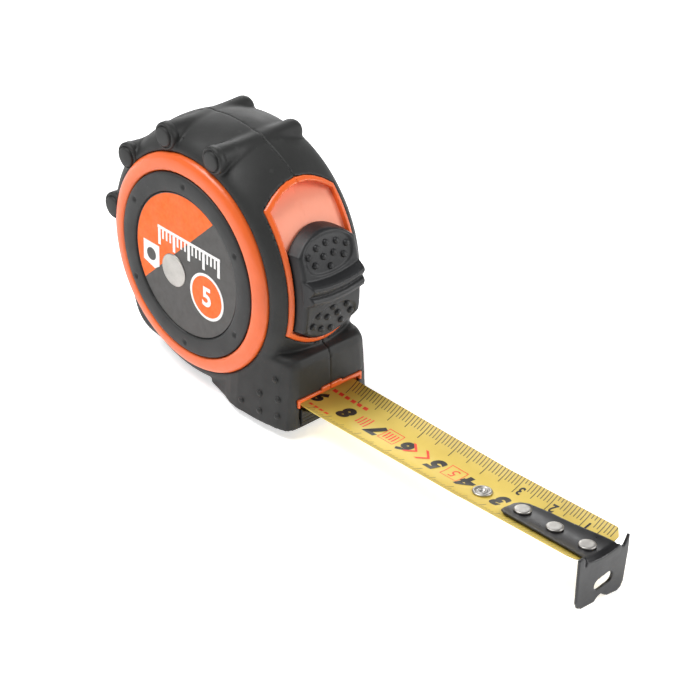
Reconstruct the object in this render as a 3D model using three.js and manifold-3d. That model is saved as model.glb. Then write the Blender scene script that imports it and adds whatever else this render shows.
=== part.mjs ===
// Pocket tape measure: a round clamshell case in a rubber jacket, a spring-wound reel,
// a concave steel blade with a floating end hook, a sliding thumb lock and a belt clip.
// Millimetres. X runs along the blade towards the hook, Y across the blade, Z up.
// The origin is on the flat base, under the reel axis.
import * as THREE from 'three';
import { mergeVertices } from 'three/addons/utils/BufferGeometryUtils.js';
import Module from 'manifold-3d';

const wasm = await Module();
wasm.setup();

// ---- driving dimensions ----
const GAP = 0.3;                 // clearance between neighbouring pieces
const AXIS_Z = 32.5;             // height of the reel axis above the base
const FAR_AWAY = 60;             // reach of cutting blocks
const CASE_SEGMENTS = 44;
const DISC_SEGMENTS = 32;

// crown of the rubber jacket: distance from the middle plane, radius
const CROWN = [[0, 34.4], [4, 34.1], [8, 33.2], [11, 31.9], [13, 30.7], [14.2, 29.5], [14.45, 28.4]];
const JACKET_THICKNESS = 1.4;
const SHELL_INSET = JACKET_THICKNESS + GAP;
const TAB_HALF = 6;               // base tab of the near jacket that laps under the far one
const TAB_REACH = 3;
const HOLE_RADIUS = 28.44;       // side hole of the jacket, around the raised ring
const RING_OUTER = 28.14;
const RING_INNER = 24;
const RING_ROOT = 14.4;          // side face height where the ring starts
const RING_TOP = 16;
const SIDE_FACE = 14.2;          // outer face of the shell's side wall
const CAVITY = [[0, 29.4], [8, 28.8], [11, 27.2], [12, 26]];
const CAVITY_DEPTH = 12;

const SNOUT_TOP = 19.2;
const SNOUT_FRONT = 35.6;
const SNOUT_HALF_FRONT = 13.4;
const SNOUT_HALF_REAR = 14.6;

const CHANNEL_HALF = 9.8;
const CHANNEL_FLOOR = 2.8;
const CHANNEL_TOP = 7.5;
const CHANNEL_REAR = -8.6;
const LIP_HALF = 10.4;
const LIP_TOP = 8.5;
const LIP_FRONT = 35.3;
const LIP_LEG_BOTTOM = 6.2;

const RIBS = [[75, 32], [106.5, 32], [140.2, 30.8], [172.7, 29.8]];   // direction, orbit
const RIB_NEAR_END = 14.5;
const RIB_FAR_END = 12.9;
const FOOT_ORBIT = 24;
const FOOT_RADIUS = 8.5;
const FOOT_HALF = 14;
const FOOT_ANGLE = 231.5;

const LOCK_MIDDLE = 15.5;          // direction of the lock opening, degrees above the X axis
const TRACK_RADIUS = 31.3;
const FRAME_HALF = 10.95;
const FRAME_BAND = 1.25;
const SLIDER_MIDDLE = 6.3;
const SLIDER_BASE = 31.7;
const SLIDER_TOP = 35.2;
const SLIDER_HALF = 9.35;
const SHOE_RADIUS = 31.4;        // reach of the brake shoe above the blade
const SLOT_HALF = 3.4;

const BLADE_REAR = 25;
const BLADE_FRONT = 119.9;
const BLADE_EDGE_Z = 6.15;
const BLADE_HALF = 8.8;
const BLADE_SAG = 2.8;
const BLADE_THICKNESS = 0.4;
const BEND_X = 85.5;             // the free end of the blade rises from here
const TIP_SLOPE = 3;             // degrees
const TWIST_START = 40;          // between these the blade twists and drifts to the far side
const TWIST_END = 88;
const TWIST = 3.8;               // degrees
const DRIFT = 1.2;
const EYELET_X = 85.6;
const EYELET_Y = -0.4;
const RIVET_XS = [97.8, 107.5, 117.1];
const RIVET_Y = -0.5;
const HOOK_THICKNESS = 0.75;
const HOOK_FRONT = 122.3;

const COIL_OUTER = 21.6;
const COIL_INNER = 14;
const COIL_HALF = 9.5;
const HUB_OUTER = 13.6;
const HUB_INNER = 11.9;
const FLANGE_RADIUS = 22.6;
const POST_RADIUS = 2.6;

const CASE_SCREWS = [[75, 26], [165, 26], [240, 26]];
const SNOUT_SCREW = [28.4, 13];

// ---- colours ----
const ORANGE = '#f8743c';
const RUBBER = '#3c3d3c';
const DARK = '#4a4a4b';
const YELLOW = '#e4cc5a';
const BLACK = '#1c1c1d';
const STEEL = '#b9bcc0';
const SPRING_STEEL = '#5d6066';

const toRadians = THREE.MathUtils.degToRad;

// ---- solids ----
function signedVolume(positions, triangles) {
  const a = new THREE.Vector3();
  const b = new THREE.Vector3();
  const c = new THREE.Vector3();
  let sum = 0;
  for (let i = 0; i < triangles.length; i += 3) {
    a.fromArray(positions, triangles[i] * 3);
    b.fromArray(positions, triangles[i + 1] * 3);
    c.fromArray(positions, triangles[i + 2] * 3);
    sum += a.dot(b.cross(c));
  }
  return sum / 6;
}

function toSolid(geometry) {
  const bare = geometry.clone();
  bare.deleteAttribute('normal');
  bare.deleteAttribute('uv');
  const merged = mergeVertices(bare, 1e-4);
  const vertProperties = new Float32Array(merged.attributes.position.array);
  const all = Array.from(merged.index.array);
  const kept = [];
  for (let i = 0; i < all.length; i += 3) {
    const [a, b, c] = all.slice(i, i + 3);
    if (a !== b && b !== c && a !== c) kept.push(a, b, c);
  }
  if (signedVolume(vertProperties, kept) < 0) kept.reverse();
  const triVerts = new Uint32Array(kept);
  return new wasm.Manifold(new wasm.Mesh({ numProp: 3, vertProperties, triVerts }));
}

function toGeometry(solid) {
  const mesh = solid.getMesh();
  const geometry = new THREE.BufferGeometry();
  geometry.setAttribute('position', new THREE.BufferAttribute(mesh.vertProperties, 3));
  geometry.setIndex(new THREE.BufferAttribute(mesh.triVerts, 1));
  geometry.computeVertexNormals();
  return geometry;
}

const join = (...solids) => solids.reduce((whole, next) => whole.add(next));

// turns an extrusion so that its outline is in (y, z) and its depth runs along X
const ALONG_X = new THREE.Matrix4().makeBasis(
  new THREE.Vector3(0, 1, 0), new THREE.Vector3(0, 0, 1), new THREE.Vector3(1, 0, 0));

function box(x0, x1, y0, y1, z0, z1) {
  const geometry = new THREE.BoxGeometry(x1 - x0, y1 - y0, z1 - z0);
  geometry.translate((x0 + x1) / 2, (y0 + y1) / 2, (z0 + z1) / 2);
  return toSolid(geometry);
}

function shapeOf(points) {
  return new THREE.Shape(points.map(([u, v]) => new THREE.Vector2(u, v)));
}

function extrude(shape, depth, curveSegments = 6) {
  return new THREE.ExtrudeGeometry(shape, { depth, bevelEnabled: false, curveSegments });
}

// outline in (x, z), thickness along Y
function prismY(shape, y0, y1) {
  const geometry = extrude(shape, y1 - y0);
  geometry.rotateX(Math.PI / 2);
  geometry.translate(0, y1, 0);
  return toSolid(geometry);
}

// outline in (y, z), thickness along X
function prismX(shape, x0, x1) {
  const geometry = extrude(shape, x1 - x0);
  geometry.applyMatrix4(ALONG_X);
  geometry.translate(x0, 0, 0);
  return toSolid(geometry);
}

// outline in (x, y), thickness along Z
function prismZ(shape, z0, z1) {
  const geometry = extrude(shape, z1 - z0);
  geometry.translate(0, 0, z0);
  return toSolid(sprung(geometry));
}

// the drawn-out blade hangs slightly askew, and so does what is fixed on it
function sprung(geometry) {
  const places = geometry.attributes.position;
  for (let i = 0; i < places.count; i += 1) {
    const [x, y, z] = [places.getX(i), places.getY(i), places.getZ(i)];
    const share = THREE.MathUtils.clamp((x - TWIST_START) / (TWIST_END - TWIST_START), 0, 1);
    const rise = Math.max(0, x - BEND_X) * Math.tan(toRadians(TIP_SLOPE));
    places.setY(i, y + DRIFT * share);
    places.setZ(i, z + rise - y * Math.tan(toRadians(TWIST * share)));
  }
  return geometry;
}

// profile as [distance along Y, radius] pairs, turned about an axis parallel to Y
function turnedY(profile, x, z, segments) {
  const points = profile.map(([along, radius]) => new THREE.Vector2(radius, along));
  const geometry = new THREE.LatheGeometry(points, segments);
  geometry.translate(x, 0, z);
  return toSolid(geometry);
}

function discY(radius, y0, y1, x = 0, z = AXIS_Z, segments = CASE_SEGMENTS) {
  return turnedY([[y0, 0], [y0, radius], [y1, radius], [y1, 0]], x, z, segments);
}

// profile as [height, radius] pairs, turned about an axis parallel to Z
function turnedZ(profile, x, y, segments) {
  const points = profile.map(([height, radius]) => new THREE.Vector2(radius, height));
  const geometry = new THREE.LatheGeometry(points, segments);
  geometry.rotateX(Math.PI / 2);
  geometry.translate(x, y, 0);
  return toSolid(sprung(geometry));
}

// mirrored profile of the case, closed on the axis
function barrel(half, inset) {
  const side = half.map(([along, radius]) => [Math.max(along - inset, 0), radius - inset]);
  const left = side.slice(1).reverse().map(([along, radius]) => [-along, radius]);
  const profile = [[left[0][0], 0], ...left, ...side, [side.at(-1)[0], 0]];
  return turnedY(profile, 0, AXIS_Z, CASE_SEGMENTS);
}

function polar(radius, degrees) {
  const angle = toRadians(degrees);
  return [radius * Math.cos(angle), AXIS_Z + radius * Math.sin(angle)];
}

const nearHalf = () => box(-FAR_AWAY, FAR_AWAY, -FAR_AWAY, -GAP / 2, -FAR_AWAY, 2 * FAR_AWAY);
const farHalf = () => box(-FAR_AWAY, FAR_AWAY, GAP / 2, FAR_AWAY, -FAR_AWAY, 2 * FAR_AWAY);

function baseTab(extra) {
  return box(-TAB_HALF - extra, TAB_HALF + extra, -GAP, TAB_REACH + extra, -1, JACKET_THICKNESS + extra);
}

// ---- case outline ----
function snoutBody(inset) {
  const front = SNOUT_FRONT - inset;
  const top = SNOUT_TOP - inset;
  const side = shapeOf([
    [4, inset + 3], [12, inset], [front - 0.4, inset], [front, 10.3],
    [front - 0.6, top - 2.1], [front - 1.6, top - 0.6], [front - 3.6, top], [4, top],
  ]);
  const wide = SNOUT_HALF_REAR - inset;
  const narrow = SNOUT_HALF_FRONT - inset;
  const plan = shapeOf([
    [4, -wide], [18, -wide], [front - 2.2, -narrow], [front - 0.7, -narrow + 0.7], [front, -narrow + 2.2],
    [front, narrow - 2.2], [front - 0.7, narrow - 0.7], [front - 2.2, narrow], [18, wide], [4, wide],
  ]);
  return prismY(side, -FAR_AWAY, FAR_AWAY).intersect(prismZ(plan, -1, FAR_AWAY));
}

// the inner surfaces keep every other point of the crown
function caseBody(inset) {
  const floor = box(-FAR_AWAY, FAR_AWAY, -FAR_AWAY, FAR_AWAY, inset, 2 * FAR_AWAY);
  const profile = inset > 0 ? CROWN.filter((point, index) => index % 2 === 0) : CROWN;
  return barrel(profile, inset).intersect(floor).add(snoutBody(inset));
}

// outline with arched ends, seen along the direction `middle`, cut through the crown
function archedBlock(halfWidth, cornerReach, middleReach, middle, inner, outer) {
  const shape = new THREE.Shape();
  const round = 0.75 * halfWidth;
  shape.moveTo(-halfWidth, -cornerReach);
  shape.bezierCurveTo(-round, -middleReach, round, -middleReach, halfWidth, -cornerReach);
  shape.lineTo(halfWidth, cornerReach);
  shape.bezierCurveTo(round, middleReach, -round, middleReach, -halfWidth, cornerReach);
  const geometry = extrude(shape, outer - inner);
  geometry.applyMatrix4(ALONG_X);
  geometry.translate(inner, 0, 0);
  geometry.rotateY(-toRadians(middle));
  geometry.translate(0, 0, AXIS_Z);
  return toSolid(geometry);
}

// grown evenly all round, which moves the corners less than the middles
const lockOpening = (extra) =>
  archedBlock(FRAME_HALF + extra, 15.6 + 0.45 * extra, 21.9 + 1.18 * extra, LOCK_MIDDLE, 24, 42);

// rod across the crown with a thick squared near end, a button on it and a rounded far end
function rib(degrees, orbit) {
  const [x, z] = polar(orbit, degrees);
  const rod = turnedY([
    [-RIB_NEAR_END, 0], [-RIB_NEAR_END, 3.2], [-RIB_NEAR_END + 0.6, 3.5], [-8, 3], [0, 2.8],
    [RIB_FAR_END - 2.5, 3], [RIB_FAR_END - 1, 2.4], [RIB_FAR_END, 0.9], [RIB_FAR_END, 0],
  ], x, z, 12);
  return rod.add(discY(2.5, -RIB_NEAR_END - 0.4, -RIB_NEAR_END + 0.5, x, z, 10));
}

function foot() {
  const [x, z] = polar(FOOT_ORBIT, FOOT_ANGLE);
  return discY(FOOT_RADIUS, -FOOT_HALF, FOOT_HALF, x, z, 28);
}

// ---- rubber jacket ----
function buildJacket() {
  let jacket = caseBody(0);
  for (const [degrees, orbit] of RIBS) {
    jacket = jacket.add(rib(degrees, orbit));
  }
  jacket = jacket.add(foot());
  const floor = box(-FAR_AWAY, FAR_AWAY, -FAR_AWAY, FAR_AWAY, 0, 2 * FAR_AWAY);
  const mouth = box(30, FAR_AWAY, -LIP_HALF - GAP, LIP_HALF + GAP, CHANNEL_FLOOR - 0.2, LIP_TOP + 0.6 + GAP);
  const padSeat = box(32.6, FAR_AWAY, -9.4, 9.4, 0.9, 5);
  const [screwX, screwZ] = SNOUT_SCREW;
  return jacket
    .intersect(floor)
    .subtract(caseBody(JACKET_THICKNESS))
    .subtract(discY(HOLE_RADIUS, -FAR_AWAY, FAR_AWAY))
    .subtract(lockOpening(GAP))
    .subtract(mouth)
    .subtract(padSeat)
    .subtract(discY(2.4, 8, FAR_AWAY, screwX, screwZ, 12));
}

// ---- orange shell ----
function sideRing(side) {
  const profile = [
    [12, RING_OUTER], [RING_ROOT, RING_OUTER], [15.4, 27.3], [15.95, 25.9], [RING_TOP, 24.6],
    [15.8, RING_INNER], [12, RING_INNER], [12, RING_OUTER],
  ];
  return turnedY(profile.map(([along, radius]) => [along * side, radius]), 0, AXIS_Z, CASE_SEGMENTS);
}

function shellCore() {
  const sideWalls = discY(RING_INNER + 1, -SIDE_FACE, SIDE_FACE);
  return join(caseBody(SHELL_INSET), sideWalls, sideRing(1), sideRing(-1));
}

function lockFrame() {
  const trackCut = lockOpening(-FRAME_BAND).subtract(discY(TRACK_RADIUS, -FAR_AWAY, FAR_AWAY));
  const frame = barrel(CROWN, 0).intersect(lockOpening(0));
  return { frame, trackCut };
}

function sectorY(inner, outer, fromDegrees, toDegrees, y0, y1) {
  const outline = [];
  const steps = Math.max(2, Math.ceil((toDegrees - fromDegrees) / 6));
  for (let i = 0; i <= steps; i += 1) {
    outline.push(polar(outer, fromDegrees + ((toDegrees - fromDegrees) * i) / steps));
  }
  for (let i = steps; i >= 0; i -= 1) {
    outline.push(polar(inner, fromDegrees + ((toDegrees - fromDegrees) * i) / steps));
  }
  return prismY(shapeOf(outline), y0, y1);
}

function screwPlaces() {
  return [...CASE_SCREWS.map(([degrees, radius]) => polar(radius, degrees)), SNOUT_SCREW];
}

function buildShell() {
  const { frame, trackCut } = lockFrame();
  const lip = join(
    box(33, LIP_FRONT, -LIP_HALF, LIP_HALF, LIP_LEG_BOTTOM, LIP_TOP),
    box(33, LIP_FRONT, -2.9, 3.6, LIP_TOP - 0.5, LIP_TOP + 0.6),
  );
  const channel = box(CHANNEL_REAR, FAR_AWAY, -CHANNEL_HALF, CHANNEL_HALF, CHANNEL_FLOOR, CHANNEL_TOP);
  const lockWell = join(
    sectorY(24, 34, 6.2, 28.2, -SLOT_HALF, SLOT_HALF),
    sectorY(26.2, 28.9, -60, 31, -4.6, 4.6),
    sectorY(26.2, SHOE_RADIUS + 0.5, -62, -36, -4.6, 4.6),
  );
  const padSeat = box(32.3, FAR_AWAY, -9.7, 9.7, 0, CHANNEL_FLOOR + 0.5);
  let shell = join(shellCore(), frame)
    .subtract(trackCut)
    .subtract(barrel([...CAVITY, [CAVITY_DEPTH + 0.01, 25.9]], 0))
    .add(lip)
    .subtract(lockWell)
    .subtract(channel)
    .subtract(padSeat);
  for (const [x, z] of screwPlaces().slice(0, -1)) {
    shell = shell.add(discY(2.2, -12.2, 12.2, x, z, 10));
  }
  for (const [x, z] of screwPlaces()) {
    shell = shell
      .subtract(discY(1.25, -8, FAR_AWAY, x, z, 10))
      .subtract(discY(2.35, x === SNOUT_SCREW[0] ? 10.6 : 13.1, FAR_AWAY, x, z, 12));
  }
  return shell
    .subtract(discY(POST_RADIUS + GAP, -13.2, 13.2, 0, AXIS_Z, 20))
    .subtract(discY(1.9, 13, FAR_AWAY, 0, AXIS_Z, 16));
}

// ---- side caps and label discs ----
function sideCap(side) {
  const profile = [
    [14.5, 0], [14.5, 23.7], [16, 23.7], [16.4, 23.2], [16.4, 19.3], [16.2, 18.9], [15.3, 18.9], [15.3, 0],
  ];
  return turnedY(profile.map(([along, radius]) => [along * side, radius]), 0, AXIS_Z, DISC_SEGMENTS);
}

function labelDisc(side) {
  const reach = [15.5 * side, 15.8 * side].sort((a, b) => a - b);
  return discY(18.6, reach[0], reach[1], 0, AXIS_Z, DISC_SEGMENTS);
}

// ---- thumb lock ----
function buildSlider() {
  const block = archedBlock(SLIDER_HALF, 9.9, 14.8, SLIDER_MIDDLE, 28, 40);
  const band = discY(SLIDER_TOP, -FAR_AWAY, FAR_AWAY).subtract(discY(SLIDER_BASE, -FAR_AWAY, FAR_AWAY));
  const ridge = prismY(shapeOf([
    polar(34, 13.5), polar(36.6, 12), polar(37.5, 9.8), polar(37.3, 6.8), polar(35.9, 5.6),
    polar(36, 3), polar(34, 1.2),
  ]), -7.6, 7.6);
  return block.intersect(band).add(ridge);
}

function buildLockArm() {
  return join(
    sectorY(26.6, 31.3, 8.2, 13.6, -3, 3),
    sectorY(26.6, 28.5, -44, 13.6, -4.2, 4.2),
    sectorY(26.6, SHOE_RADIUS, -58, -51, -4.2, 4.2),
    sectorY(26.6, 28.5, -52, -43, -4.2, 4.2),
  );
}

// ---- reel ----
function buildReelDrum() {
  const hub = discY(HUB_OUTER, -10, 10, 0, AXIS_Z, DISC_SEGMENTS);
  const flange = discY(FLANGE_RADIUS, -10.8, -9.8, 0, AXIS_Z, DISC_SEGMENTS);
  return join(hub, flange)
    .subtract(discY(HUB_INNER, -9.8, 11, 0, AXIS_Z, DISC_SEGMENTS))
    .subtract(discY(POST_RADIUS + GAP, -12, 0, 0, AXIS_Z, 20));
}

function buildReelCover() {
  return discY(FLANGE_RADIUS, 10.3, 11.1, 0, AXIS_Z, DISC_SEGMENTS).subtract(discY(POST_RADIUS + GAP, 9, 12, 0, AXIS_Z, 20));
}

function buildMainspring() {
  const turns = 4.5;
  const steps = 64;
  const thickness = 0.7;
  const [start, end] = [POST_RADIUS + 0.9, HUB_INNER - 1];
  const outer = [];
  const inner = [];
  for (let i = 0; i <= steps; i += 1) {
    const angle = (2 * Math.PI * turns * i) / steps;
    const radius = start + ((end - start) * i) / steps;
    outer.push([(radius + thickness / 2) * Math.cos(angle), AXIS_Z + (radius + thickness / 2) * Math.sin(angle)]);
    inner.push([(radius - thickness / 2) * Math.cos(angle), AXIS_Z + (radius - thickness / 2) * Math.sin(angle)]);
  }
  return prismY(shapeOf([...outer, ...inner.reverse()]), -9, 9);
}

function buildCoil() {
  return discY(COIL_OUTER, -COIL_HALF, COIL_HALF, 0, AXIS_Z, DISC_SEGMENTS)
    .subtract(discY(COIL_INNER, -COIL_HALF - 1, COIL_HALF + 1, 0, AXIS_Z, DISC_SEGMENTS));
}

// ---- blade and hook ----
const troughRadius = (BLADE_HALF ** 2 + BLADE_SAG ** 2) / (2 * BLADE_SAG);
const troughZ = (y) => BLADE_EDGE_Z - BLADE_SAG + troughRadius - Math.sqrt(troughRadius ** 2 - y ** 2);

// strip that follows the trough of the blade, between two heights above its middle surface
function troughStrip(x0, x1, halfWidth, low, high, steps) {
  const top = [];
  const bottom = [];
  for (let i = 0; i <= steps; i += 1) {
    const y = -halfWidth + (2 * halfWidth * i) / steps;
    top.push([y, troughZ(y) + high]);
    bottom.push([y, troughZ(y) + low]);
  }
  const section = shapeOf([...bottom, ...top.reverse()]);
  const geometry = new THREE.ExtrudeGeometry(section, { depth: x1 - x0, steps: 8, bevelEnabled: false });
  geometry.applyMatrix4(ALONG_X);
  geometry.translate(x0, 0, 0);
  return toSolid(sprung(geometry));
}

function hole(x, y, radius) {
  return turnedZ([[0, 0], [0, radius], [12, radius], [12, 0]], x, y, 12);
}

function buildBlade() {
  let blade = troughStrip(BLADE_REAR, BLADE_FRONT, BLADE_HALF, -BLADE_THICKNESS / 2, BLADE_THICKNESS / 2, 8);
  for (const x of RIVET_XS) {
    blade = blade.subtract(hole(x, RIVET_Y, 1.3));
  }
  return blade.subtract(hole(EYELET_X, EYELET_Y, 1.8));
}

function buildEyelet() {
  const z = troughZ(EYELET_Y);
  return turnedZ([
    [z - 0.9, 1.1], [z - 0.9, 2.1], [z - 0.6, 2.1], [z - 0.6, 1.5], [z + 0.8, 1.5],
    [z + 0.8, 2.4], [z + 1.1, 2.2], [z + 1.1, 1.1], [z - 0.9, 1.1],
  ], EYELET_X, EYELET_Y, 14);
}

const HOOK_LOW = BLADE_THICKNESS / 2 + GAP;
const HEAD_LOW = HOOK_LOW + HOOK_THICKNESS + 0.5;

function buildRivet(x) {
  const z = troughZ(RIVET_Y);
  const profile = [
    [z - 1, 0], [z - 1, 1.5], [z - 0.6, 1.7], [z - 0.6, 1], [z + HEAD_LOW, 1], [z + HEAD_LOW, 2.05],
    [z + HEAD_LOW + 0.5, 1.95], [z + HEAD_LOW + 0.6, 1.5], [z + HEAD_LOW + 0.6, 0],
  ];
  return turnedZ(profile, x, RIVET_Y, 14);
}

function buildHook() {
  const outline = shapeOf([
    [94.3, 0.6], [94.3, -2.6], [94.9, -4.2], [96.4, -5.1], [HOOK_FRONT, -5.9], [HOOK_FRONT, 5.2], [117, 4.7],
    [109, 3.9], [102, 3.5], [97, 2.9], [95.2, 2],
  ]);
  const plate = troughStrip(90, HOOK_FRONT, 8, HOOK_LOW, HOOK_LOW + HOOK_THICKNESS, 10)
    .intersect(prismZ(outline, 0, 15));
  const face = prismX(shapeOf([
    [-7.4, 8.6], [-7.2, -3], [-6.6, -4.6], [-5.2, -5.3], [-0.9, -5.6], [0.1, -4.5], [1.1, -4.3], [2.1, -5.2],
    [3.4, -5.9], [7, -6.5], [8, -5.9], [8.7, -4.4], [9.4, 3.5], [9.4, 8.2], [8.6, 6.8], [7.7, 5.7], [6.9, 5.7],
    [6.4, 6.9], [4, 6.4], [1, 6.2], [-2, 6.6], [-4.6, 7.4], [-4.9, 6.2], [-5.3, 6.2], [-5.4, 8.4], [-7, 8.9],
  ]), HOOK_FRONT - 1.1, HOOK_FRONT);
  const slot = prismX(shapeOf([[-1.7, -2.4], [-1.5, -0.3], [4.6, 1.4], [5.4, 0.4], [5, -0.6]]), 118, 125);
  let hook = join(plate, face).subtract(slot);
  for (const x of RIVET_XS) {
    const middle = RIVET_Y + DRIFT;
    hook = hook.subtract(box(x - 1.8, x + 1.8, middle - 1.4, middle + 1.4, 3, 10));
  }
  return hook;
}

// ---- fasteners, pad and clip ----
function buildScrew(x, z, headBottom, shankEnd) {
  return turnedY([
    [shankEnd, 0], [shankEnd, 0.9], [headBottom, 0.9], [headBottom, 2], [headBottom + 1, 2],
    [headBottom + 1.3, 1.6], [headBottom + 1.3, 0],
  ], x, z, 12);
}

function buildPost() {
  return discY(POST_RADIUS, -12.9, 12.9, 0, AXIS_Z, 20).subtract(box(-0.45, 0.45, -9.5, 9.5, AXIS_Z, AXIS_Z + 4));
}

function buildPad() {
  let pad = box(32.9, 35.2, -9.1, 9.1, 1.1, 2.8);
  for (const z of [1.1, 1.75, 2.4]) {
    pad = pad.add(box(34, 35.8, -9.1, 9.1, z, z + 0.4));
  }
  return pad;
}

function buildClip() {
  const outline = shapeOf([
    [16.7, 41], [16.7, 27.5], [17.6, 25.6], [21.3, 22.4], [21.3, 10], [20.2, 7.6], [21.2, 5.4], [22.1, 5.8],
    [21.4, 7.6], [22.3, 9.8], [22.3, 22.9], [18.4, 26.2], [17.6, 27.8], [17.6, 41],
  ]);
  const strip = prismX(outline, -8, 8);
  return strip.subtract(discY(1.9, 15, 19, 0, AXIS_Z, 16));
}

function buildClipScrew() {
  return turnedY([
    [13.8, 0], [13.8, 1.5], [17.9, 1.5], [17.9, 3.4], [18.6, 3.2], [19, 2.4], [19, 0],
  ], 0, AXIS_Z, 18);
}

// ---- assembly ----
const group = new THREE.Group();

function place(name, solid, color, roughness, metalness = 0) {
  const material = new THREE.MeshStandardMaterial({ color, roughness, metalness });
  const mesh = new THREE.Mesh(toGeometry(solid), material);
  mesh.name = name;
  group.add(mesh);
}

const jacket = buildJacket();
place('jacket_near', jacket.intersect(nearHalf().add(baseTab(0))), RUBBER, 0.8);
place('jacket_far', jacket.intersect(farHalf().subtract(baseTab(GAP))), RUBBER, 0.8);

const shell = buildShell();
place('shell_near', shell.intersect(nearHalf()), ORANGE, 0.35);
place('shell_far', shell.intersect(farHalf()), ORANGE, 0.35);

place('side_cap_near', sideCap(-1), DARK, 0.5);
place('side_cap_far', sideCap(1).subtract(discY(1.9, 10, 20, 0, AXIS_Z, 16)), DARK, 0.5);
place('label_disc_near', labelDisc(-1), DARK, 0.35);
place('label_disc_far', labelDisc(1).subtract(discY(1.9, 10, 20, 0, AXIS_Z, 16)), DARK, 0.35);

place('thumb_lock_slider', buildSlider(), DARK, 0.6);
place('lock_brake_arm', buildLockArm(), DARK, 0.6);
place('mouth_pad', buildPad(), RUBBER, 0.8);

place('centre_post', buildPost(), STEEL, 0.3, 1);
place('reel_drum', buildReelDrum(), BLACK, 0.5);
place('reel_cover', buildReelCover(), BLACK, 0.5);
place('mainspring', buildMainspring(), SPRING_STEEL, 0.35, 1);
place('blade_coil', buildCoil(), YELLOW, 0.4);

place('blade', buildBlade(), YELLOW, 0.35);
place('blade_eyelet', buildEyelet(), STEEL, 0.3, 1);
RIVET_XS.forEach((x, index) => place(`hook_rivet_${index + 1}`, buildRivet(x), STEEL, 0.3, 1));
place('end_hook', buildHook(), BLACK, 0.35, 0.5);

screwPlaces().forEach(([x, z], index) => {
  const headBottom = x === SNOUT_SCREW[0] ? 10.9 : 13.4;
  place(`case_screw_${index + 1}`, buildScrew(x, z, headBottom, -7), STEEL, 0.3, 1);
});
place('belt_clip', buildClip(), STEEL, 0.3, 1);
place('clip_screw', buildClipScrew(), STEEL, 0.3, 1);

export default group;
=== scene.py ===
"""Looks of the pocket tape measure: moulded rubber, orange shell, enamelled blade and hook.

Everything is worked out in millimetres in the frame's own axes and written to the meshes in metres.
"""
import math

import bmesh
import bpy
import numpy as np
from mathutils import Matrix, Vector


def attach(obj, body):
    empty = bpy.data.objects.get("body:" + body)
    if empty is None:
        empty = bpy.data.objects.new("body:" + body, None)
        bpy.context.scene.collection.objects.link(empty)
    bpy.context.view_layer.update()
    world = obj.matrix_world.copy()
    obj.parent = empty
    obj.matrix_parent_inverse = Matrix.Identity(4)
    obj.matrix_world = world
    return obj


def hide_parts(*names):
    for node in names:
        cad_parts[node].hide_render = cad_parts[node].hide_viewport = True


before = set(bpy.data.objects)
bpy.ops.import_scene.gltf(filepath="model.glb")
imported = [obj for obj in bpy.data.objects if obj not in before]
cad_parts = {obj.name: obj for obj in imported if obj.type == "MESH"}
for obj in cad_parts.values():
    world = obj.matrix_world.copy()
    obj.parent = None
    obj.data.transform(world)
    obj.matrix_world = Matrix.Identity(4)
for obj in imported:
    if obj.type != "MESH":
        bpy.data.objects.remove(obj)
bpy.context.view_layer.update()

MM = 0.001
AXIS_Z = 32.5  # height of the reel axis

# crown of the case
CROWN_TOP = 34.4  # radius in the middle
CROWN_CURVE = 0.01875
SHOULDER_DROP = 2.1  # lost at the sides, over and above the curve
HALF_WIDTH = 14.45  # of the jacket
JACKET = 1.4  # thickness of the jacket
SHELL = 1.7  # depth of the shell's face below the case's outside
RIBS = ((75, 32), (106.5, 32), (140.2, 30.8), (172.7, 29.8))  # direction, orbit
FOOT_ANGLE, FOOT_ORBIT, FOOT_RADIUS = 231.5, 24, 8.5

# lock opening and slider, seen along a direction above the X axis
LOCK_MIDDLE = 15.5  # degrees
FRAME_OUTLINE = (10.95, 15.6, 20.4, 20.3)  # half width, reach at the corners, top and bottom reach
FRAME_BAND = 1.25  # breadth of the rim round the opening
TRACK_RADIUS = 31.3
SLIDER_MIDDLE = 6.3  # degrees
SLIDER_OUTLINE = (9.35, 9.9, 14.2, 13.9)  # as the frame's
SLIDER_BASE = 31.7  # inner and outer radius
SLIDER_TOP = 35.6

# blade, before it is sprung into its drawn-out shape
BLADE_HALF = 8.8
BLADE_EDGE_Z = 6.15
BLADE_SAG = 2.8  # depth of the hollow
BLADE_TOP = 0.2  # top and bottom face above the middle surface
BLADE_BOTTOM = -0.05
BLADE_REAR = 25
BLADE_FRONT = 119.9
BEND_X, TIP_SLOPE = 85.5, 3.0  # where the tip starts to rise, and its slope in degrees
TWIST_START, TWIST_END, TWIST, DRIFT = 40, 88, 3.8, 1.2  # twist in degrees, drift sideways
ZERO_X = 120.35  # place of the scale's zero
EYELET = (85.6, -0.4)
RIVETS = ((98.2, -0.6), (107.9, -0.6), (117.5, -0.6))
HOOK_LOW = 0.5  # underside of its strap above the blade's middle surface
HOOK_THICKNESS = 0.75
HOOK_FRONT = 122.3
HEAD_LOW = 1.35  # underside of the rivet heads


# ---- distance fields
def smooth_min(a, b, k):
    share = np.clip(0.5 + 0.5 * (b - a) / k, 0, 1)
    return b * (1 - share) + a * share - k * share * (1 - share)


def smooth_max(a, b, k):
    return -smooth_min(-a, -b, k)


def round_max(a, b, radius):
    """Overlap of two shapes with an edge rounded to the radius."""
    outside = np.hypot(np.maximum(a + radius, 0), np.maximum(b + radius, 0))
    return outside + np.minimum(np.maximum(a, b) + radius, 0) - radius


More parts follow.
